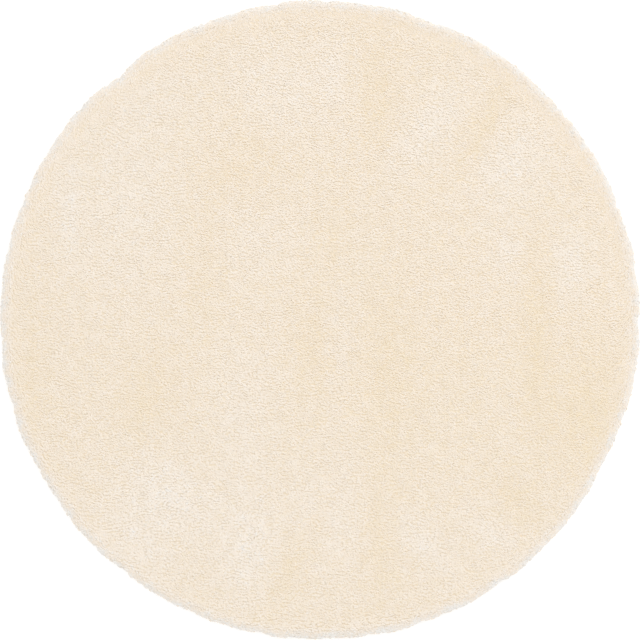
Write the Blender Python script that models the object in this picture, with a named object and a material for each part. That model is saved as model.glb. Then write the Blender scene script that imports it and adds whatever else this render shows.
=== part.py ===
# A round shag rug with a deep plush pile, lying flat on the floor.
#
# The rug is one solid: a lumpy slab of pile whose rim breaks up into locks, and whose
# backing never shows. The floor is z = 0, and the origin is the middle of the underside.
# +Z is up. +Y is the far side of the rug for someone who looks down at it.

import math
import random
from collections import namedtuple

import bmesh
import bpy
from mathutils import Vector, geometry, noise

# Driving sizes, in metres.
RUG_DIAMETER = 1.600        # over the tips of the rim locks
PILE_HEIGHT = 0.0258        # mean height of the walked-on surface above the floor
LUMP_RISE = 0.0048          # most that a clump of pile rises or sinks
LUMP_WIDTH = 0.056          # from one clump of pile to the next
SURFACE_STEP = 0.0265       # spacing of the points that the pile's surface has
ROLL_WIDTH = 0.040          # the pile rolls over towards the rim on this width
ROLL_DROP = 0.0030          # and comes down by this much before the first locks
UNDERSIDE_STEP = 0.180      # spacing of the points inside the flat underside

# The locks round the rim.
LOCKS_PER_TIER = 150
LOCK_WAIST = (0.66, 0.80)   # width half way along a lock, as a share of its pitch
LOCK_SWAY = 0.20            # sideways lean of a lock's tip, as a share of its pitch
LOCK_SHORTEST = 0.0040      # most that a lock falls short of the outline
RANDOM_SEED = 41

# Where the two tiers of locks grow and how they lie. An inset is measured inwards from
# the outline, and a height up from the floor. The lower tier rests level on the floor.
Tier = namedtuple(
    "Tier",
    "turn root_low_inset root_low root_high_inset root_high "
    "waist_inset waist_low waist_high tip_inset tip_height",
)
LOWER_TIER = Tier(0.0, 0.0210, 0.0, 0.0195, 0.0115, 0.0078, 0.0, 0.0080, 0.0, 0.0016)
UPPER_TIER = Tier(
    0.5, 0.0200, 0.0145, 0.0260, 0.0225, 0.0120, 0.0110, 0.0180, 0.0045, 0.0098
)

# Shallow dents in the outline: where they lie, in degrees from +X towards +Y, how wide
# they are, in degrees, and how deep, in metres.
Dent = namedtuple("Dent", "angle width depth")
DENTS = [
    Dent(70, 7, 0.0040),
    Dent(110, 8, 0.0025),
    Dent(130, 9, 0.0090),
    Dent(212, 10, 0.0040),
    Dent(270, 9, 0.0025),
    Dent(315, 9, 0.0025),
    Dent(333, 15, 0.0055),
]

# Strokes that a hand or a foot has brushed into the pile, as soft ridges and troughs.
# A stroke has its middle, its length and width, its turn in degrees from +X, and the
# height by which it lifts the pile.
Stroke = namedtuple("Stroke", "x y length width turn lift")
STROKES = [
    # Pile that stands up to the light.
    Stroke(-0.49, 0.31, 0.50, 0.30, 90, 0.0010),
    Stroke(-0.63, 0.28, 0.27, 0.06, 90, 0.0014),
    Stroke(-0.10, 0.58, 0.32, 0.24, 0, 0.0009),
    Stroke(0.03, 0.62, 0.17, 0.06, 90, 0.0010),
    Stroke(0.28, 0.48, 0.26, 0.08, 48, 0.0016),
    Stroke(0.48, 0.39, 0.24, 0.18, 60, 0.0013),
    Stroke(0.47, 0.17, 0.11, 0.06, 90, 0.0011),
    Stroke(0.63, 0.14, 0.15, 0.09, 90, 0.0013),
    Stroke(-0.15, 0.20, 0.18, 0.16, 0, 0.0007),
    Stroke(0.05, -0.06, 0.25, 0.06, 90, 0.0012),
    Stroke(-0.20, -0.25, 0.45, 0.17, 90, 0.0009),
    Stroke(-0.38, -0.44, 0.26, 0.16, -36, 0.0016),
    Stroke(-0.19, -0.57, 0.27, 0.14, 90, 0.0015),
    Stroke(0.04, -0.49, 0.30, 0.17, 90, 0.0010),
    Stroke(0.26, -0.56, 0.20, 0.08, -49, 0.0013),
    Stroke(0.43, -0.54, 0.15, 0.08, -35, 0.0012),
    # Pile that lies down, away from the light.
    Stroke(0.14, 0.57, 0.29, 0.06, 90, -0.0015),
    Stroke(0.41, 0.48, 0.25, 0.06, 62, -0.0015),
    Stroke(-0.17, 0.46, 0.20, 0.06, -48, -0.0013),
    Stroke(-0.22, 0.37, 0.18, 0.12, 0, -0.0010),
    Stroke(-0.29, 0.12, 0.37, 0.06, 90, -0.0012),
    Stroke(0.03, 0.20, 0.20, 0.09, 90, -0.0009),
    Stroke(0.54, -0.05, 0.44, 0.07, 90, -0.0018),
    Stroke(0.61, -0.22, 0.32, 0.24, 90, -0.0014),
    Stroke(0.18, -0.14, 0.38, 0.10, 90, -0.0014),
    Stroke(0.15, -0.55, 0.34, 0.06, 90, -0.0013),
    Stroke(-0.02, -0.08, 0.23, 0.06, 90, -0.0014),
    Stroke(-0.72, -0.15, 0.34, 0.08, 90, -0.0010),
    Stroke(-0.44, -0.21, 0.18, 0.08, 90, -0.0014),
    Stroke(-0.06, -0.60, 0.27, 0.07, 63, -0.0012),
    Stroke(0.49, -0.45, 0.17, 0.08, -60, -0.0012),
]

PILE_COLOUR = (0.891, 0.782, 0.644)
PILE_ROUGHNESS = 0.95


def outline_radius(angle):
    """How far the locks reach at an angle in radians, less the dents there."""
    radius = RUG_DIAMETER / 2
    for dent in DENTS:
        off = math.degrees(angle) - dent.angle
        off = (off + 180) % 360 - 180
        radius -= dent.depth * math.exp(-((2 * off / dent.width) ** 2))
    return radius


def rim_point(angle, inset, height):
    """A point at an angle round the rug, inset from the outline."""
    radius = outline_radius(angle) - inset
    return Vector((radius * math.cos(angle), radius * math.sin(angle), height))


def stroke_lift(x, y):
    """How far the brushed strokes raise or lower the pile at a point."""
    lift = 0.0
    for stroke in STROKES:
        turn = math.radians(stroke.turn)
        along = (x - stroke.x) * math.cos(turn) + (y - stroke.y) * math.sin(turn)
        across = (y - stroke.y) * math.cos(turn) - (x - stroke.x) * math.sin(turn)
        spread = (2 * along / stroke.length) ** 2 + (2 * across / stroke.width) ** 2
        lift += stroke.lift * math.exp(-spread)
    return lift


def pile_height(x, y):
    """Height of the pile's surface: its clumps, its strokes and its rolled edge."""
    clumps = LUMP_RISE * noise.noise(Vector((x, y, 0.0)) / LUMP_WIDTH)
    to_rim = outline_radius(math.atan2(y, x)) - UPPER_TIER.root_high_inset
    to_rim -= math.hypot(x, y)
    roll = max(0.0, 1.0 - to_rim / ROLL_WIDTH)
    return PILE_HEIGHT + clumps + stroke_lift(x, y) - ROLL_DROP * roll**2


def sunflower(radius, step):
    """Evenly spread points in a circle, each a golden angle on from the last."""
    count = round(math.pi * radius**2 / step**2)
    golden = math.pi * (3 - math.sqrt(5))
    points = []
    for k in range(count):
        out = radius * math.sqrt((k + 0.5) / count)
        points.append((out * math.cos(k * golden), out * math.sin(k * golden)))
    return points


def fill_ring(bm, ring, step, height_at):
    """Fill a ring of vertices with triangles over evenly spread inner points."""
    clear = min(vert.co.xy.length for vert in ring) - 0.65 * step
    inner = [bm.verts.new((x, y, height_at(x, y))) for x, y in sunflower(clear, step)]
    verts = ring + inner
    flat = [vert.co.xy for vert in verts]
    edges = [(k, (k + 1) % len(ring)) for k in range(len(ring))]
    _, _, faces, origin, _, _ = geometry.delaunay_2d_cdt(flat, edges, [], 1, 1e-7)
    for face in faces:
        bm.faces.new([verts[origin[corner][0]] for corner in face])


def root_ring(bm, tier, inset, height):
    """The vertices between the roots of one tier, at their lower or upper edge."""
    pitch = 2 * math.pi / LOCKS_PER_TIER
    angles = [(k + tier.turn) * pitch for k in range(LOCKS_PER_TIER)]
    return [bm.verts.new(rim_point(angle, inset, height)) for angle in angles]


def add_lock(bm, tier, index, roots, draw):
    """One four-sided lock, from its root in the slab through its waist to its tip."""
    pitch = 2 * math.pi / LOCKS_PER_TIER
    middle = (index + tier.turn + 0.5) * pitch
    lean = draw.uniform(-LOCK_SWAY, LOCK_SWAY) * pitch
    half = draw.uniform(*LOCK_WAIST) * pitch / 2
    short = draw.uniform(0, LOCK_SHORTEST)
    waist = []
    for side, height in [(-1, "low"), (1, "low"), (1, "high"), (-1, "high")]:
        angle = middle + 0.3 * lean + side * half
        level = tier.waist_low if height == "low" else tier.waist_high
        waist.append(bm.verts.new(rim_point(angle, tier.waist_inset, level)))
    tip = bm.verts.new(rim_point(middle + lean, tier.tip_inset + short, tier.tip_height))
    for k in range(4):
        after = (k + 1) % 4
        bm.faces.new((roots[k], roots[after], waist[after], waist[k]))
        bm.faces.new((waist[k], waist[after], tip))


def add_tier(bm, tier, draw):
    """A tier of locks, whose neighbours share only the edge between their roots."""
    low = root_ring(bm, tier, tier.root_low_inset, tier.root_low)
    high = root_ring(bm, tier, tier.root_high_inset, tier.root_high)
    for k in range(LOCKS_PER_TIER):
        after = (k + 1) % LOCKS_PER_TIER
        add_lock(bm, tier, k, (low[k], low[after], high[after], high[k]), draw)
    return low, high


def join_tiers(bm, below, above):
    """The narrow band of pile between two tiers, which stand half a pitch apart."""
    for k in range(LOCKS_PER_TIER):
        after = (k + 1) % LOCKS_PER_TIER
        bm.faces.new((below[k], below[after], above[k]))
        bm.faces.new((below[after], above[after], above[k]))


def pile_material():
    """Ivory pile: matt, with no metal in it."""
    material = bpy.data.materials.new("ivory_pile")
    material.use_nodes = True
    shader = material.node_tree.nodes["Principled BSDF"]
    shader.inputs["Base Color"].default_value = (*PILE_COLOUR, 1.0)
    shader.inputs["Roughness"].default_value = PILE_ROUGHNESS
    shader.inputs["Metallic"].default_value = 0.0
    material.diffuse_color = (*PILE_COLOUR, 1.0)
    return material


def make_rug():
    """The whole rug as one closed mesh, with its underside flat on the floor."""
    draw = random.Random(RANDOM_SEED)
    bm = bmesh.new()
    floor_ring, lower_top = add_tier(bm, LOWER_TIER, draw)
    upper_foot, pile_ring = add_tier(bm, UPPER_TIER, draw)
    join_tiers(bm, lower_top, upper_foot)
    fill_ring(bm, pile_ring, SURFACE_STEP, pile_height)
    fill_ring(bm, floor_ring, UNDERSIDE_STEP, lambda x, y: 0.0)
    bmesh.ops.triangulate(bm, faces=bm.faces)
    bmesh.ops.recalc_face_normals(bm, faces=bm.faces)
    mesh = bpy.data.meshes.new("rug")
    bm.to_mesh(mesh)
    bm.free()
    mesh.shade_smooth()
    mesh.set_sharp_from_angle(angle=math.radians(50))
    mesh.materials.append(pile_material())
    rug = bpy.data.objects.new("rug", mesh)
    bpy.context.scene.collection.objects.link(rug)
    return rug


for thing in list(bpy.data.objects):
    bpy.data.objects.remove(thing, do_unlink=True)
make_rug()
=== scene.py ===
import math
from collections import namedtuple

import bpy
import numpy as np
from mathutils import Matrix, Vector


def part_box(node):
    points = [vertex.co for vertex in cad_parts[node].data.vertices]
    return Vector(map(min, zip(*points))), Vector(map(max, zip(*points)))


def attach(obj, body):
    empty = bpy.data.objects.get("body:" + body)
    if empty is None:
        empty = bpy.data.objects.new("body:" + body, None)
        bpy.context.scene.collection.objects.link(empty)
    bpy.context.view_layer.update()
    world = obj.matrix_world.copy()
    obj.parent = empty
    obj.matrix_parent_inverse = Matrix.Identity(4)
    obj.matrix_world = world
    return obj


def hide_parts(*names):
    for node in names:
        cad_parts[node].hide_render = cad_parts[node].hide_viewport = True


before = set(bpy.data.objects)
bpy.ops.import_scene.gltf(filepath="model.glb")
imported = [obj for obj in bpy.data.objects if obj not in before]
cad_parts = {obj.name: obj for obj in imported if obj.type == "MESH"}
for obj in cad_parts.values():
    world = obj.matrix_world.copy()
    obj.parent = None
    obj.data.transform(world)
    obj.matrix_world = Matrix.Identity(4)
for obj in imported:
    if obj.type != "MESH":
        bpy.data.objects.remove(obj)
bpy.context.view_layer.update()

rugLow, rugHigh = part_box("rug")
print("frame loaded, rug", [round(side, 3) for side in rugHigh - rugLow])


def linearColour(code):
    # from an sRGB hex code
    parts = [int(code[k:k + 2], 16) / 255 for k in (1, 3, 5)]
    return [p / 12.92 if p <= 0.04045 else ((p + 0.055) / 1.055) ** 2.4 for p in parts] + [1.0]


def addNode(tree, kind, settings=None, inputs=None):
    # inputs are keyed by socket name or number, and hold a value or the socket to link
    node = tree.nodes.new(kind)
    for name, value in (settings or {}).items():
        setattr(node, name, value)
    for key, value in (inputs or {}).items():
        if isinstance(value, bpy.types.NodeSocket):
            tree.links.new(value, node.inputs[key])
        else:
            node.inputs[key].default_value = value
    return node


def newMaterial(name):
    material = bpy.data.materials.new(name)
    material.use_nodes = True
    material.node_tree.nodes.clear()
    return material, material.node_tree


def setRamp(node, stops):
    ramp = node.color_ramp
    while len(ramp.elements) < len(stops):
        ramp.elements.new(0.5)
    for element, (place, code) in zip(ramp.elements, stops):
        element.position = place
        element.color = linearColour(code)


# Lengths are in metres and turns in degrees. The next tables shape every piece of the rug.
outline = {
    "radius": max(rugHigh.x, rugHigh.y) + 0.0028,  # loose fibres stand this far past the locks
    "unevenness": 0.0014,    # slow in and out of the rim between its dents
    "unevenSize": 0.11,
}

# at the rim the tufts gather in locks, which scallop the outline
lock = {
    "count": 150,
    "wander": 0.9,           # in locks: they are not all the same width
    "wanderSize": 0.14,
    "depth": 0.0046,         # of the notch between two locks
    "depthSpread": 0.6,      # share by which that depth varies
    "depthSize": 0.12,
    "bluntness": 0.7,        # 1 is a round lock, less is a blunter one
    "gather": 9,             # tufts turn this much towards the middle of their lock
}

Dent = namedtuple("Dent", "angle width depth")
dents = [
    Dent(70, 7, 0.0040),
    Dent(110, 8, 0.0025),
    Dent(130, 9, 0.0090),
    Dent(212, 10, 0.0040),
    Dent(270, 9, 0.0025),
    Dent(315, 9, 0.0025),
    Dent(333, 15, 0.0055),
]

# Where the pile has been brushed. shade is 1 where the nap lies so that it looks palest,
# and -1 where it looks deepest: it tilts and lifts the tufts, and is also painted into their colour as
# painted nap shade. turn is counted from +X.
Stroke = namedtuple("Stroke", "x y length width turn shade")
strokes = [
    Stroke(-0.49, 0.31, 0.50, 0.30, 90, 0.55),
    Stroke(-0.63, 0.28, 0.27, 0.06, 90, 0.60),
    Stroke(-0.10, 0.58, 0.32, 0.24, 0, 0.50),
    Stroke(0.03, 0.62, 0.17, 0.06, 90, 0.50),
    Stroke(0.27, 0.48, 0.26, 0.10, 52, 0.80),
    Stroke(0.48, 0.39, 0.24, 0.18, 60, 0.75),
    Stroke(0.47, 0.17, 0.11, 0.06, 90, 0.70),
    Stroke(0.63, 0.14, 0.15, 0.09, 90, 0.80),
    Stroke(-0.15, 0.20, 0.18, 0.16, 0, 0.35),
    Stroke(0.05, -0.06, 0.25, 0.06, 90, 0.30),
    Stroke(-0.20, -0.25, 0.45, 0.17, 90, 0.45),
    Stroke(-0.38, -0.44, 0.26, 0.16, -36, 0.95),
    Stroke(-0.18, -0.58, 0.27, 0.14, 80, 0.80),
    Stroke(0.04, -0.49, 0.30, 0.17, 90, 0.50),
    Stroke(0.26, -0.56, 0.20, 0.08, -49, 0.75),
    Stroke(0.43, -0.54, 0.15, 0.08, -35, 0.65),
    Stroke(-0.46, -0.56, 0.24, 0.14, -45, 0.70),
    Stroke(-0.42, 0.54, 0.22, 0.12, 45, 0.30),
    Stroke(-0.04, -0.50, 0.20, 0.05, 90, 0.35),
    Stroke(0.14, 0.57, 0.30, 0.09, 90, -0.65),
    Stroke(0.41, 0.48, 0.25, 0.06, 62, -0.80),
    Stroke(-0.17, 0.46, 0.20, 0.06, -48, -0.35),
    Stroke(-0.22, 0.37, 0.18, 0.12, 0, -0.45),
    Stroke(-0.29, 0.12, 0.40, 0.09, 90, -0.35),
    Stroke(0.03, 0.20, 0.20, 0.09, 90, -0.40),
    Stroke(0.54, -0.05, 0.46, 0.08, 90, -0.75),
    Stroke(0.67, -0.23, 0.36, 0.19, 85, -0.85),
    Stroke(0.17, -0.12, 0.46, 0.15, 90, -0.60),
    Stroke(0.15, -0.55, 0.34, 0.09, 90, -0.60),
    Stroke(-0.02, -0.08, 0.26, 0.10, 90, -0.60),
    Stroke(-0.72, -0.15, 0.34, 0.08, 90, -0.50),
    Stroke(-0.44, -0.20, 0.22, 0.12, 70, -0.60),
    Stroke(-0.06, -0.60, 0.27, 0.07, 63, -0.65),
    Stroke(0.49, -0.45, 0.17, 0.08, -60, -0.65),
    Stroke(0.36, -0.16, 0.36, 0.30, 90, -0.25),
]
deepestShade = 1.1           # strokes that cross add up to no more than this

# a fixed seed for each slow unevenness
waveSeeds = {
    "outline": 5, "lockWidth": 6, "lockDepth": 7, "lean": 31, "turn": 32, "swell": 33,
    "tone": 34, "row": 35, "rimTone": 43,
}


def waves(x, y, size, name, most=math.inf):
    # a smooth random field from a few plane waves: its spread is 1, and most is its limit
    draw = np.random.default_rng(waveSeeds[name])
    count, shortest, longest = 11, 0.7, 1.5
    total = np.zeros(np.shape(x))
    for _ in range(count):
        heading, phase = draw.uniform(0, 2 * math.pi, 2)
        pace = 2 * math.pi / (size * draw.uniform(shortest, longest))
        total += np.sin(pace * (x * math.cos(heading) + y * math.sin(heading)) + phase)
    return np.clip(total / math.sqrt(count / 2), -most, most)


def outlineAt(angle):
    radius = np.full(np.shape(angle), outline["radius"])
    for dent in dents:
        off = (np.degrees(angle) - dent.angle + 180) % 360 - 180
        radius -= dent.depth * np.exp(-((2 * off / dent.width) ** 2))
    x, y = radius * np.cos(angle), radius * np.sin(angle)
    sway = waves(x, y, outline["unevenSize"], "outline", most=1)
    return radius - outline["unevenness"] * (1 + sway)


def locksAt(angle):
    # how far the rim is notched there, and which way a tuft turns towards its lock
    x, y = np.cos(angle), np.sin(angle)
    wander = lock["wander"] * waves(x, y, lock["wanderSize"], "lockWidth")
    phase = lock["count"] * angle / (2 * math.pi) + wander
    share = phase - np.floor(phase)
    spread = lock["depthSpread"] * waves(x, y, lock["depthSize"], "lockDepth", most=1.5)
    hollow = 1 - np.sin(math.pi * share) ** lock["bluntness"]
    return lock["depth"] * (1 + spread) * hollow, np.cos(math.pi * share)


def brushed(x, y):
    # the shade of all strokes together
    shade = np.zeros(np.shape(x))
    for stroke in strokes:
        turn = math.radians(stroke.turn)
        along = (x - stroke.x) * math.cos(turn) + (y - stroke.y) * math.sin(turn)
        across = (y - stroke.y) * math.cos(turn) - (x - stroke.x) * math.sin(turn)
        spread = (2 * along / stroke.length) ** 2 + (2 * across / stroke.width) ** 2
        shade += stroke.shade * np.exp(-spread)
    return np.clip(shade, -deepestShade, deepestShade)


def smoothStep(value, start, end):
    share = np.clip((value - start) / (end - start), 0, 1)
    return share * share * (3 - 2 * share)


# Every tuft is placed by its tip, on one tip surface that rolls over the rim. Its root is
# worked back from the tip along an arc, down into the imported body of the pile.
tipSurface = {
    "height": 0.0262,
    "strokeRise": 0.0008,    # a pale stroke stands this much higher, a deep one lower
    "swell": 0.0007,         # slow unevenness
    "swellSize": 0.070,
    "rollWide": 0.0240,      # how far in from the outline the roll starts
    "rollMiddle": 0.0085,    # height at which the roll is widest
    "rollUnder": 0.0062,     # how far below that it tucks in
    "lowestTip": 0.0036,     # a tip low on the rim stays this far off the floor
}


def tipHeight(x, y):
    swell = waves(x, y, tipSurface["swellSize"], "swell", most=1.5)
    height = tipSurface["height"] + tipSurface["strokeRise"] * brushed(x, y)
    return height + tipSurface["swell"] * swell


def rollPoint(turn, top):
    # inset from the outline and height of the roll, turn radians round from its top
    middle = tipSurface["rollMiddle"]
    tall = np.where(turn < math.pi / 2, top - middle, tipSurface["rollUnder"])
    inset = tipSurface["rollWide"] * (1 - np.sin(turn))
    return inset, middle + tall * np.cos(turn)


def rollHeight(x, y):
    # height of the tip surface over a point of the floor, down to the widest part of the roll
    top = tipHeight(x, y)
    inset = outlineAt(np.arctan2(y, x)) - np.hypot(x, y)
    share = np.clip(1 - inset / tipSurface["rollWide"], 0, 1)
    middle = tipSurface["rollMiddle"]
    return middle + (top - middle) * np.sqrt(1 - share**2)


tuft = {
    "sides": 3,              # a tuft is a spindle of six faces: thousands of them make the nap
    "rings": 2,
    "length": 0.0165,
    "widthSpread": 0.1,
    "straighten": 0.45,      # the root leans this share of the tip's lean
    "straightenLow": 0.94,   # and this share low on the rim, where it lies on the floor
    "leastBend": 0.03,       # radians: the arc needs some lean to bend round
    "toneSpread": 0.035,     # how far the map spreads a tuft round its own tone
    "toneRandom": 0.07,      # yarns differ in tone by this
    "toneEnd": 0.06,         # tones keep this far from the ends of the map
    "mapMargin": 0.03,       # the map keeps this much clear below the roots and above the tips
    "mapSkew": 0.01,         # and is skewed by this, so that none of its faces is a sliver
}
tuftValues = ("heading", "rootLean", "tipLean", "tuftLength", "tuftWidth", "tone")


def buildTuftTree():
    tree = bpy.data.node_groups.new("tuftGrower", "GeometryNodeTree")
    sockets = tree.interface
    sockets.new_socket(name="Seams", in_out="INPUT", socket_type="NodeSocketGeometry")
    for name in ("Belly", "Flatness", "Tone Spread", "Map Margin", "Map Skew"):
        sockets.new_socket(name=name, in_out="INPUT", socket_type="NodeSocketFloat")
    for name in ("Sides", "Rings", "Seed"):
        sockets.new_socket(name=name, in_out="INPUT", socket_type="NodeSocketInt")
    sockets.new_socket(name="Yarn", in_out="INPUT", socket_type="NodeSocketMaterial")
    sockets.new_socket(name="Tufts", in_out="OUTPUT", socket_type="NodeSocketGeometry")
    given = addNode(tree, "NodeGroupInput").outputs

    def maths(operation, a, b=0.0):
        return addNode(tree, "ShaderNodeMath", {"operation": operation}, {0: a, 1: b}).outputs[0]

    def read(name, kind="FLOAT"):
        node = addNode(tree, "GeometryNodeInputNamedAttribute", {"data_type": kind}, {"Name": name})
        return node.outputs["Attribute"]

    def store(geometry, name, value, kind="FLOAT", domain="POINT"):
        settings = {"data_type": kind, "domain": domain}
        inputs = {"Geometry": geometry, "Name": name, "Value": value}
        return addNode(tree, "GeometryNodeStoreNamedAttribute", settings, inputs).outputs[0]

    def turnZ(vector, angle):
        inputs = {"Vector": vector, "Angle": angle}
        return addNode(tree, "ShaderNodeVectorRotate", {"rotation_type": "Z_AXIS"}, inputs).outputs[0]

    # one tuft is a spindle: along it from 0 at the root to 1 at the tip
    ball = addNode(
        tree, "GeometryNodeMeshUVSphere", None,
        {"Segments": given["Sides"], "Rings": given["Rings"], "Radius": 1.0},
    )
    place = addNode(tree, "GeometryNodeInputPosition").outputs[0]
    parts = addNode(tree, "ShaderNodeSeparateXYZ", None, {0: place}).outputs
    share = maths("ADD", maths("MULTIPLY", parts[2], 0.5), 0.5)
    middle = maths("MULTIPLY", maths("MULTIPLY", share, maths("SUBTRACT", 1.0, share)), 4.0)
    along = maths("ADD", share, maths("MULTIPLY", middle, maths("SUBTRACT", given["Belly"], 0.5)))
    around = addNode(tree, "ShaderNodeCombineXYZ", None, {0: parts[0], 1: parts[1]}).outputs[0]
    tuftMesh = store(ball.outputs["Mesh"], "along", along)
    tuftMesh = store(tuftMesh, "around", around, "FLOAT_VECTOR")

    # where it stands, kept before the copies are made real
    seams = store(given["Seams"], "rootPlace", place, "FLOAT_VECTOR")
    spin = addNode(
        tree, "FunctionNodeRandomValue", {"data_type": "FLOAT"},
        {2: 0.0, 3: 2 * math.pi, "Seed": given["Seed"]},
    ).outputs[1]
    seams = store(seams, "spin", spin)
    points = addNode(tree, "GeometryNodeMeshToPoints", None, {"Mesh": seams}).outputs[0]
    copies = addNode(
        tree, "GeometryNodeInstanceOnPoints", None, {"Points": points, "Instance": tuftMesh}
    ).outputs[0]
    tufts = addNode(tree, "GeometryNodeRealizeInstances", None, {"Geometry": copies}).outputs[0]

    # bend each tuft on an arc from its lean at the root to its lean at the tip
    spun = turnZ(read("around", "FLOAT_VECTOR"), read("spin"))
    across = addNode(tree, "ShaderNodeSeparateXYZ", None, {0: spun}).outputs
    half = maths("MULTIPLY", read("tuftWidth"), 0.5)
    flat = given["Flatness"]
    inPlane = maths("MULTIPLY", maths("MULTIPLY", across[0], half), maths("SUBTRACT", 1.0, flat))
    sideways = maths("MULTIPLY", maths("MULTIPLY", across[1], half), maths("ADD", 1.0, flat))
    bend = maths("SUBTRACT", read("tipLean"), read("rootLean"))
    here = maths("ADD", read("rootLean"), maths("MULTIPLY", bend, read("along")))
    arc = maths("DIVIDE", read("tuftLength"), bend)
    sinHere, cosHere = maths("SINE", here), maths("COSINE", here)
    fallen = maths("SUBTRACT", maths("COSINE", read("rootLean")), cosHere)
    risen = maths("SUBTRACT", sinHere, maths("SINE", read("rootLean")))
    outward = maths("ADD", maths("MULTIPLY", arc, fallen), maths("MULTIPLY", inPlane, cosHere))
    upward = maths("SUBTRACT", maths("MULTIPLY", arc, risen), maths("MULTIPLY", inPlane, sinHere))
    leant = addNode(tree, "ShaderNodeCombineXYZ", None, {0: outward, 1: sideways, 2: upward}).outputs[0]
    placed = addNode(
        tree, "ShaderNodeVectorMath", {"operation": "ADD"},
        {0: turnZ(leant, read("heading")), 1: read("rootPlace", "FLOAT_VECTOR")},
    ).outputs[0]
    tufts = addNode(
        tree, "GeometryNodeSetPosition", None, {"Geometry": tufts, "Position": placed}
    ).outputs[0]

    # the map runs from deep to pale tufts across, and from root to tip upwards
    local = addNode(tree, "ShaderNodeSeparateXYZ", None, {0: read("around", "FLOAT_VECTOR")}).outputs
    mapAcross = maths("ADD", read("tone"), maths("MULTIPLY", local[1], given["Tone Spread"]))
    mapUp = maths("ADD", read("along"), maths("MULTIPLY", local[0], given["Map Skew"]))
    tall = maths("SUBTRACT", 1.0, maths("MULTIPLY", given["Map Margin"], 2.0))
    mapUp = maths("ADD", maths("MULTIPLY", mapUp, tall), given["Map Margin"])
    mapPlace = addNode(tree, "ShaderNodeCombineXYZ", None, {0: mapAcross, 1: mapUp}).outputs[0]
    tufts = store(tufts, "OFBake", mapPlace, "FLOAT2", "CORNER")
    for name in ("around", "along", "rootPlace", "spin"):
        tufts = addNode(
            tree, "GeometryNodeRemoveAttribute", None, {"Geometry": tufts, "Name": name}
        ).outputs[0]

    # flat faces catch the light one by one, as crimped yarn ends do
    tufts = addNode(
        tree, "GeometryNodeSetShadeSmooth", None, {"Geometry": tufts, "Shade Smooth": False}
    ).outputs[0]
    tufts = addNode(
        tree, "GeometryNodeSetMaterial", None, {"Geometry": tufts, "Material": given["Yarn"]}
    ).outputs[0]
    addNode(tree, "NodeGroupOutput", None, {0: tufts})
    return tree


def growTufts(name, tree, roots, rows, material, seed):
    # roots holds an array for each of tuftValues, and x, y and z. rows is pile or rim.
    mesh = bpy.data.meshes.new(name + "Seams")
    mesh.vertices.add(len(roots["x"]))
    places = np.stack([roots["x"], roots["y"], roots["z"]], 1).astype(np.float32)
    mesh.vertices.foreach_set("co", places.ravel())
    for key in tuftValues:
        layer = mesh.attributes.new(key, "FLOAT", "POINT")
        layer.data.foreach_set("value", roots[key].astype(np.float32))
    piece = bpy.data.objects.new(name, mesh)
    bpy.context.scene.collection.objects.link(piece)
    grower = piece.modifiers.new("tufts", "NODES")
    grower.node_group = tree
    values = {
        "Sides": tuft["sides"],
        "Rings": tuft["rings"],
        "Belly": rows["belly"],
        "Flatness": rows["flatness"],
        "Tone Spread": tuft["toneSpread"],
        "Map Margin": tuft["mapMargin"],
        "Map Skew": tuft["mapSkew"],
        "Seed": seed,
        "Yarn": material,
    }
    for socket in tree.interface.items_tree:
        if socket.in_out == "INPUT" and socket.name in values:
            grower[socket.identifier] = values[socket.name]
    evaluated = piece.evaluated_get(bpy.context.evaluated_depsgraph_get())
    grown = bpy.data.meshes.new_from_object(evaluated)
    piece.modifiers.remove(grower)
    piece.data = grown
    grown.name = name
    for key in tuftValues:
        if key in grown.attributes:
            grown.attributes.remove(grown.attributes[key])
    bpy.data.meshes.remove(mesh)
    triangles = sum(len(polygon.vertices) - 2 for polygon in grown.polygons)
    print(name, len(roots["x"]), "tufts,", triangles, "triangles")
    return piece


def rootTufts(draw, x, y, z, heading, tipLean, straighten, width, tone):
    # x, y and z are of the tips: it goes back from each along its arc to its root
    rootLean = straighten * tipLean
    arc = tuft["length"] / (tipLean - rootLean)
    fallen = arc * (np.cos(rootLean) - np.cos(tipLean))
    risen = arc * (np.sin(tipLean) - np.sin(rootLean))
    spread = tuft["widthSpread"]
    return {
        "x": x - fallen * np.cos(heading),
        "y": y - fallen * np.sin(heading),
        "z": z - risen,
        "heading": heading,
        "rootLean": rootLean,
        "tipLean": tipLean,
        "tuftLength": np.full(x.size, tuft["length"]),
        "tuftWidth": width * draw.uniform(1 - spread, 1 + spread, x.size),
        "tone": np.clip(tone, tuft["toneEnd"], 1 - tuft["toneEnd"]),
    }


pile = {
    "width": 0.0106,         # of a tuft across its belly
    "flatness": 0.25,        # wider across the lean than along it
    "belly": 0.80,           # how far up the belly sits: the cut end is blunt
    "rowPitch": 0.0041,      # rows of tufts run along X
    "rowGather": 0.0005,     # two rows share a seam, so they stand closer by this
    "rowWave": 0.0026,       # the rows wander this much to and fro
    "rowWaveSize": 0.06,
    "stitch": 0.0036,
    "jitterAlong": 0.0016,
    "jitterAcross": 0.0014,
    "tipJitter": 0.0003,     # cut ends differ in height by this
    "sunkShare": 0.07,       # some tufts are caught under their neighbours
    "sunkDepth": 0.0050,
    "lean": 24,              # at the tip, where the nap is unbrushed
    "leanPale": 13,          # more lean in pale strokes, less in deep ones
    "leanWander": 3.5,       # clumps of tufts lean more or less together
    "leanSize": 0.022,
    "leanRandom": 4,
    "turn": -90,             # the nap lies towards -Y
    "turnWander": 9,
    "turnSize": 0.035,
    "turnRandom": 13,
    "rimLean": 26,           # outwards, where the rim's rows take over
    "rimReach": 0.065,       # from this far in, the nap starts to turn outwards
    "napAtRim": 0.2,         # share of its own lean that the nap keeps there
    "tone": 0.50,
    # painted nap shade: the strokes make the yarn's colour paler or deeper by this
    "paintedNapShade": 0.22,
    "toneWander": 0.03,
    "toneSize": 0.05,
    "seed": 11,
    "bands": 5,
}

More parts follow.
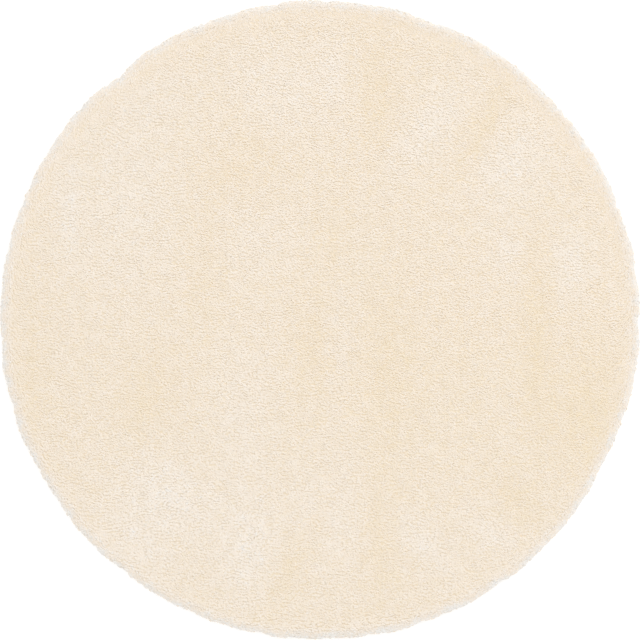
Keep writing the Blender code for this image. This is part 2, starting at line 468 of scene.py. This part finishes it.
# rows of tufts that follow the rim, from the top of its roll to just under it
rim = {
    "width": 0.0088,         # finer tufts, flattened against each other by the bend
    "flatness": 0.32,
    "belly": 0.82,
    "rows": 15,
    "firstTurn": 17,         # round the roll, from its top
    "lastTurn": 126,
    "turnRandom": 3,
    "stitch": 0.0036,
    "jitter": 0.0010,
    "tipJitter": 0.0006,
    "fringe": 0.0017,        # the same where the rim is widest
    "splay": 9,
    "leanRandom": 4,
    "mostLean": 99,
    # painted light: the rim's yarn is painted paler than the pile's
    "tone": 0.72,
    "paintedLightWide": 0.90,        # painted light: thin, spread ends are painted whiter where the rim is widest
    "paintedShadeUnder": 0.45,       # painted shade: they are painted deeper where they tuck in under it
    "toneBlend": 0.030,      # the pile takes the rim's tone, with its painted light, from this far in
    "toneWander": 0.05,
    "seed": 23,
}


def layPileRows():
    draw = np.random.default_rng(pile["seed"])
    reach = outline["radius"]
    rowCount = int(2 * reach / pile["rowPitch"])
    perRow = int(2 * reach / pile["stitch"])
    row, step = np.meshgrid(np.arange(rowCount), np.arange(perRow), indexing="ij")
    row, step = row.ravel(), step.ravel()
    gather = np.where(row % 2 == 0, 1, -1) * pile["rowGather"]
    stagger = np.where((row // 2 + row) % 2 == 0, 0.25, 0.75)  # in stitches
    x = -reach + (step + stagger) * pile["stitch"] + draw.normal(0, pile["jitterAlong"], row.size)
    y = -reach + (row + 0.5) * pile["rowPitch"] + gather
    y = y + pile["rowWave"] * waves(x, y, pile["rowWaveSize"], "row")
    y = y + draw.normal(0, pile["jitterAcross"], row.size)

    # the rows end half a stitch short of the rim's first row
    edge, _ = rollPoint(np.radians(rim["firstTurn"]), tipSurface["height"])
    inset = outlineAt(np.arctan2(y, x)) - np.hypot(x, y)
    inside = inset > edge + 0.5 * pile["stitch"]
    x, y, inset = x[inside], y[inside], inset[inside]
    shade = brushed(x, y)

    # clumps of tufts wander from the nap together, and near the rim they lean outwards
    lean = pile["lean"] + pile["leanPale"] * shade
    lean = lean + pile["leanWander"] * waves(x, y, pile["leanSize"], "lean")
    lean = np.radians(lean + draw.normal(0, pile["leanRandom"], x.size))
    turn = pile["turn"] + pile["turnWander"] * waves(x, y, pile["turnSize"], "turn")
    turn = np.radians(turn + draw.normal(0, pile["turnRandom"], x.size))
    rimShare = 1 - smoothStep(inset, edge, pile["rimReach"])
    rimLean = rimShare * math.radians(pile["rimLean"])
    outwards = np.arctan2(y, x)
    kept = 1 - (1 - pile["napAtRim"]) * rimShare
    leanX = lean * np.cos(turn) * kept + rimLean * np.cos(outwards)
    leanY = lean * np.sin(turn) * kept + rimLean * np.sin(outwards)
    heading = np.arctan2(leanY, leanX)
    tipLean = np.hypot(leanX, leanY) + tuft["leastBend"]

    z = rollHeight(x, y) + draw.normal(0, pile["tipJitter"], x.size)
    z = z - pile["sunkDepth"] * (draw.uniform(0, 1, x.size) < pile["sunkShare"])
    # painted nap shade: the colour is paler where the nap would catch the light and deeper where it
    # would not
    tone = pile["tone"] + pile["paintedNapShade"] * shade
    tone = tone + pile["toneWander"] * waves(x, y, pile["toneSize"], "tone")
    tone = tone + draw.normal(0, tuft["toneRandom"], x.size)
    # near the rim the pile takes the rim's paler tone: painted light
    tone = tone + (rim["tone"] - pile["tone"]) * (1 - smoothStep(inset, edge, rim["toneBlend"]))
    return rootTufts(draw, x, y, z, heading, tipLean, tuft["straighten"], pile["width"], tone)


def layRimRows():
    draw = np.random.default_rng(rim["seed"])
    count = int(2 * math.pi * outline["radius"] / rim["stitch"])
    found = []
    for index in range(rim["rows"]):
        share = index / (rim["rows"] - 1)
        angle = (np.arange(count) + 0.5 * (index % 2)) * 2 * math.pi / count
        angle = angle + draw.normal(0, rim["jitter"], count) / outline["radius"]
        turn = rim["firstTurn"] + (rim["lastTurn"] - rim["firstTurn"]) * share
        roll = np.radians(turn + draw.normal(0, rim["turnRandom"], count))

        # notches and loose fibres show most where the rim is widest
        notch, aim = locksAt(angle)
        edge = outlineAt(angle) - notch * np.sin(roll) ** 2
        inner = edge - tipSurface["rollWide"]
        inset, z = rollPoint(roll, tipHeight(inner * np.cos(angle), inner * np.sin(angle)))
        fringe = rim["tipJitter"] + (rim["fringe"] - rim["tipJitter"]) * np.sin(roll) ** 4
        reach = fringe * draw.normal(0, 1, count)
        radius = edge - inset + reach * np.sin(roll)
        z = np.maximum(z + reach * np.cos(roll), tipSurface["lowestTip"])
        x, y = radius * np.cos(angle), radius * np.sin(angle)
        splay = math.radians(rim["splay"]) * draw.normal(0, 1, count)
        heading = angle + splay + math.radians(lock["gather"]) * aim
        tipLean = np.minimum(roll, math.radians(rim["mostLean"]))
        tipLean = tipLean + np.radians(draw.normal(0, rim["leanRandom"], count))
        # painted light and shade across the roll: palest where it is widest, deeper where it tucks under
        tone = np.interp(share, (0, 0.5, 1), (rim["tone"], rim["paintedLightWide"], rim["paintedShadeUnder"]))
        tone = tone + rim["toneWander"] * waves(x, y, pile["toneSize"], "rimTone")
        tone = tone + draw.normal(0, tuft["toneRandom"], count)
        straighten = tuft["straighten"] + (tuft["straightenLow"] - tuft["straighten"]) * share
        found.append(rootTufts(draw, x, y, z, heading, tipLean, straighten, rim["width"], tone))
    return {key: np.concatenate([part[key] for part in found]) for key in found[0]}


yarnLook = {
    # deep to pale: the tone carries the strokes' painted nap shade and the rim's painted light
    "ends": [(0.08, "#EFE2C9"), (0.50, "#F2E8DA"), (0.74, "#F4ECE2"), (0.94, "#F0EEEB")],
    # painted shade low in the pile
    "roots": "#EDDFC6",
    "rootsUpTo": 0.15,       # share of the tuft's length painted in the shaded root colour
    "endsFrom": 0.95,
    "roughness": 0.88,
    "sheen": 0.18,
    "sheenRoughness": 0.5,
    "specular": 0.25,
}


def makeYarn():
    # heat-set polyester yarn, cut: matt and powdery, ivory ends over roots painted warmer and deeper, as
    # painted shade low in the pile
    material, tree = newMaterial("heatSetYarn")
    mapNode = addNode(tree, "ShaderNodeUVMap", {"uv_map": "OFBake"})
    parts = addNode(tree, "ShaderNodeSeparateXYZ", None, {0: mapNode.outputs[0]}).outputs
    ends = addNode(tree, "ShaderNodeValToRGB", None, {0: parts[0]})
    setRamp(ends, yarnLook["ends"])
    up = addNode(
        tree, "ShaderNodeMapRange", {"interpolation_type": "SMOOTHSTEP"},
        {"Value": parts[1], "From Min": yarnLook["rootsUpTo"], "From Max": yarnLook["endsFrom"]},
    ).outputs[0]
    mixed = addNode(
        tree, "ShaderNodeMix", {"data_type": "RGBA"},
        {0: up, 6: linearColour(yarnLook["roots"]), 7: ends.outputs[0]},
    ).outputs[2]
    shader = addNode(
        tree, "ShaderNodeBsdfPrincipled", None,
        {
            "Base Color": mixed,
            "Roughness": yarnLook["roughness"],
            "Sheen Weight": yarnLook["sheen"],
            "Sheen Roughness": yarnLook["sheenRoughness"],
            "Specular IOR Level": yarnLook["specular"],
        },
    )
    addNode(tree, "ShaderNodeOutputMaterial", None, {0: shader.outputs[0]})
    return material


packedLook = {
    # painted shade: a little deeper than the tufts' ends
    "shadedTones": [(0.08, "#ECDCBE"), (0.50, "#EFE2CC"), (0.92, "#F1EBE0")],
    "grainSize": 0.0033,     # about one yarn
    "grainDepth": 0.001,
    "grainStrength": 0.6,
    "roughness": 0.95,
    "specular": 0.2,
}


def makePackedYarn():
    # the same yarn packed tight: a felted, fuzzy mass that shows only between the tips, its tones
    # painted a little deeper as painted shade between them
    material, tree = newMaterial("packedYarn")
    tone = addNode(tree, "ShaderNodeAttribute", {"attribute_name": "tone"}).outputs["Fac"]
    place = addNode(tree, "ShaderNodeTexCoord").outputs["Object"]
    grain = addNode(
        tree, "ShaderNodeTexNoise", None,
        {"Vector": place, "Scale": 1 / packedLook["grainSize"], "Detail": 2.0},
    ).outputs[0]
    colour = addNode(tree, "ShaderNodeValToRGB", None, {0: tone})
    setRamp(colour, packedLook["shadedTones"])
    bump = addNode(
        tree, "ShaderNodeBump", None,
        {"Height": grain, "Distance": packedLook["grainDepth"], "Strength": packedLook["grainStrength"]},
    )
    shader = addNode(
        tree, "ShaderNodeBsdfPrincipled", None,
        {
            "Base Color": colour.outputs[0],
            "Roughness": packedLook["roughness"],
            "Normal": bump.outputs[0],
            "Specular IOR Level": packedLook["specular"],
        },
    )
    addNode(tree, "ShaderNodeOutputMaterial", None, {0: shader.outputs[0]})
    return material


clothLook = {
    "thread": 0.0042,        # real threads are 2 mm apart, drawn at twice that to show
    # painted shade: the hollows between crossing threads are painted darker than the crowns
    "hollow": "#B9A47C",
    "crown": "#D8C8A4",
    "relief": 0.0008,
    "reliefStrength": 0.8,
    "roughness": 0.9,
}


def makeBackingCloth():
    # plain-woven polypropylene and jute cloth: dull straw, its threads crossing in relief, with painted
    # shade in the hollows between them
    material, tree = newMaterial("plainWovenBacking")
    place = addNode(tree, "ShaderNodeTexCoord").outputs["Object"]
    sides = addNode(tree, "ShaderNodeSeparateXYZ", None, {0: place}).outputs

    def maths(operation, a, b=0.0):
        return addNode(tree, "ShaderNodeMath", {"operation": operation}, {0: a, 1: b}).outputs[0]

    pace = math.pi / clothLook["thread"]
    warp, weft = [maths("SINE", maths("MULTIPLY", side, pace)) for side in sides[:2]]
    crossing = maths("MULTIPLY", warp, weft)
    lift = addNode(
        tree, "ShaderNodeMapRange", None, {"Value": crossing, "From Min": -1.0, "From Max": 1.0}
    ).outputs[0]
    colour = addNode(tree, "ShaderNodeValToRGB", None, {0: lift})
    setRamp(colour, [(0.1, clothLook["hollow"]), (0.9, clothLook["crown"])])
    bump = addNode(
        tree, "ShaderNodeBump", None,
        {"Height": lift, "Distance": clothLook["relief"], "Strength": clothLook["reliefStrength"]},
    )
    shader = addNode(
        tree, "ShaderNodeBsdfPrincipled", None,
        {
            "Base Color": colour.outputs[0],
            "Roughness": clothLook["roughness"],
            "Normal": bump.outputs[0],
        },
    )
    addNode(tree, "ShaderNodeOutputMaterial", None, {0: shader.outputs[0]})
    return material


boardLook = {
    "colour": "#FAFAFA",
    "glow": 0.16,            # lit through from below
    "roughness": 0.9,
    "specular": 0.1,
}


def makeStudioBoard():
    # matt white board: clean and even, it sends soft light up to the rug's rim
    material, tree = newMaterial("studioBoard")
    shader = addNode(
        tree, "ShaderNodeBsdfPrincipled", None,
        {
            "Base Color": linearColour(boardLook["colour"]),
            "Roughness": boardLook["roughness"],
            "Specular IOR Level": boardLook["specular"],
            "Emission Color": linearColour("#FFFFFF"),
            "Emission Strength": boardLook["glow"],
        },
    )
    addNode(tree, "ShaderNodeOutputMaterial", None, {0: shader.outputs[0]})
    return material


def meshObject(name, points, faces, material):
    mesh = bpy.data.meshes.new(name)
    mesh.from_pydata(points, [], faces)
    mesh.update()
    mesh.shade_smooth()
    mesh.materials.append(material)
    piece = bpy.data.objects.new(name, mesh)
    bpy.context.scene.collection.objects.link(piece)
    return piece


def turnedSlab(name, rings, material):
    # rings of points from the middle of the top, over the rim, to the middle below
    spokes = len(rings[0])
    points = [rings[0].mean(0)] + [point for ring in rings for point in ring] + [rings[-1].mean(0)]
    last = len(points) - 1
    faces = []
    for k in range(spokes):
        after = (k + 1) % spokes
        faces.append((0, 1 + k, 1 + after))
        faces.append((last, last - spokes + after, last - spokes + k))
        for ring in range(len(rings) - 1):
            a, b = 1 + ring * spokes, 1 + (ring + 1) * spokes
            faces.append((a + k, b + k, b + after, a + after))
    return meshObject(name, points, faces, material)


def ringAt(radius, height, angle):
    height = np.broadcast_to(height, angle.shape)
    return np.stack([radius * np.cos(angle), radius * np.sin(angle), height], 1)


backing = {
    "thickness": 0.0030,
    "inset": 0.0205,         # the pile hides its edge by this
    "crown": 0.0010,         # its cut edge bulges by this
}

# the body of the pile: its packed yarn, just under the tips, over the backing
body = {
    "below": 0.0031,         # the tips stand proud of it by this
    "rimBelow": 0.0024,      # and by this over the rim
    "rimTurn": 60,           # round the roll, where it has changed from one to the other
    "low": 0.0033,           # it starts on the backing
    "spokes": 450,
    "ringStep": 0.011,
    "rollTurns": (25, 45, 62, 76, 88, 102),
    "toneFrom": 0.012,       # up to this far in from the outline it has the rim's tone, painted light included
}
halfWay = 0.5                # both have a ring half way in, so that no flat face is too long


def makeBody(material):
    angle = np.arange(body["spokes"]) * 2 * math.pi / body["spokes"]
    edge = outlineAt(angle)
    notch, _ = locksAt(angle)
    rings = []
    flat = 1 - (tipSurface["rollWide"] + body["below"]) / edge
    count = int(outline["radius"] / body["ringStep"])
    for k in range(1, count + 1):
        radius = edge * flat * k / count
        top = tipHeight(radius * np.cos(angle), radius * np.sin(angle))
        rings.append(ringAt(radius, top - body["below"], angle))
    for degrees in body["rollTurns"]:
        turn = math.radians(degrees)
        inset, height = rollPoint(turn, top)
        below = body["below"] + (body["rimBelow"] - body["below"]) * min(degrees / body["rimTurn"], 1)
        radius = edge - notch * math.sin(turn) ** 2 - inset - below * math.sin(turn)
        height = np.maximum(height - below * math.cos(turn), body["low"])
        rings.append(ringAt(radius, height, angle))
    rings.append(ringAt(edge - backing["inset"], body["low"], angle))
    rings.append(ringAt(halfWay * edge, body["low"], angle))
    piece = turnedSlab("pileBody", rings, material)

    # it takes the tone of the tufts over it, with the strokes' painted nap shade and the rim's painted
    # light
    places = np.zeros(3 * len(piece.data.vertices))
    piece.data.vertices.foreach_get("co", places)
    x, y = places[0::3], places[1::3]
    inset = outlineAt(np.arctan2(y, x)) - np.hypot(x, y)
    tone = pile["tone"] + pile["paintedNapShade"] * brushed(x, y)
    rimShare = 1 - smoothStep(inset, body["toneFrom"], rim["toneBlend"])
    tone = tone + (rim["tone"] - pile["tone"]) * rimShare
    layer = piece.data.attributes.new("tone", "FLOAT", "POINT")
    tone = np.clip(tone, tuft["toneEnd"], 1 - tuft["toneEnd"])
    layer.data.foreach_set("value", tone.astype(np.float32))
    return piece


def makeBacking(material):
    angle = np.arange(body["spokes"]) * 2 * math.pi / body["spokes"]
    edge = outlineAt(angle) - backing["inset"]
    thick = backing["thickness"]
    rings = [ringAt(edge * share, thick, angle) for share in (halfWay, 1)]
    rings.append(ringAt(edge + backing["crown"], 0.5 * thick, angle))
    rings += [ringAt(edge * share, 0.0, angle) for share in (1, halfWay)]
    return turnedSlab("wovenBacking", rings, material)


bodyPiece = makeBody(makePackedYarn())
backingPiece = makeBacking(makeBackingCloth())
print("body and backing made")

yarn = makeYarn()
tuftTree = buildTuftTree()
roots = layPileRows()
order = np.argsort(-roots["y"], kind="stable")
pileBands = []
for k, part in enumerate(np.array_split(order, pile["bands"])):
    band = {key: roots[key][part] for key in roots}
    pileBands.append(growTufts(f"pileBand{k + 1}", tuftTree, band, pile, yarn, pile["seed"] + k))
rimPiece = growTufts("pileRim", tuftTree, layRimRows(), rim, yarn, rim["seed"])
print("pile and rim grown")

pilePieces = [bodyPiece, rimPiece, *pileBands]
for piece in [backingPiece, *pilePieces]:
    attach(piece, "root")
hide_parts("rug")
print("pieces ride the rug")

studio = {
    "lens": 100,
    "imageWidth": 1.6020,    # across the picture at the height of the pile
    "pileLevel": 0.018,
    "floorHalf": 8.0,
    "floorLevel": -0.0004,   # just below the backing, so that the two never flicker
    "sky": 1.0,
    "keyPlace": (4.0, 5.2, 5.4),
    "keySize": 3.0,
    "keyWatts": 114,
}


def makeFloor():
    half, level = studio["floorHalf"], studio["floorLevel"]
    corners = [(x * half, y * half, level) for x, y in ((-1, -1), (1, -1), (1, 1), (-1, 1))]
    floor = meshObject("studioFloor", corners, [(0, 1, 2, 3)], makeStudioBoard())


def lightStudio():
    world = bpy.data.worlds.new("studioSky")
    bpy.context.scene.world = world
    world.use_nodes = True
    background = world.node_tree.nodes["Background"].inputs
    background["Color"].default_value = linearColour("#FFFFFF")
    background["Strength"].default_value = studio["sky"]
    data = bpy.data.lights.new("keyBox", "AREA")
    data.shape = "SQUARE"
    data.size = studio["keySize"]
    data.energy = studio["keyWatts"]
    lamp = bpy.data.objects.new("keyBox", data)
    lamp.location = studio["keyPlace"]
    lamp.rotation_euler = (-Vector(studio["keyPlace"])).to_track_quat("-Z", "Y").to_euler()
    lamp.visible_camera = False
    bpy.context.scene.collection.objects.link(lamp)


def placeCamera():
    # straight above the middle of the rug
    data = bpy.data.cameras.new("overheadCamera")
    data.lens = studio["lens"]
    camera = bpy.data.objects.new("overheadCamera", data)
    distance = studio["imageWidth"] * studio["lens"] / data.sensor_width
    camera.location = (0, 0, studio["pileLevel"] + distance)
    bpy.context.scene.collection.objects.link(camera)
    bpy.context.scene.camera = camera


makeFloor()
lightStudio()
placeCamera()
bpy.context.scene.view_settings.view_transform = "Standard"
bpy.context.scene.cycles.denoising_prefilter = "NONE"  # keeps the grain of the pile crisp
print("floor, light and camera set")
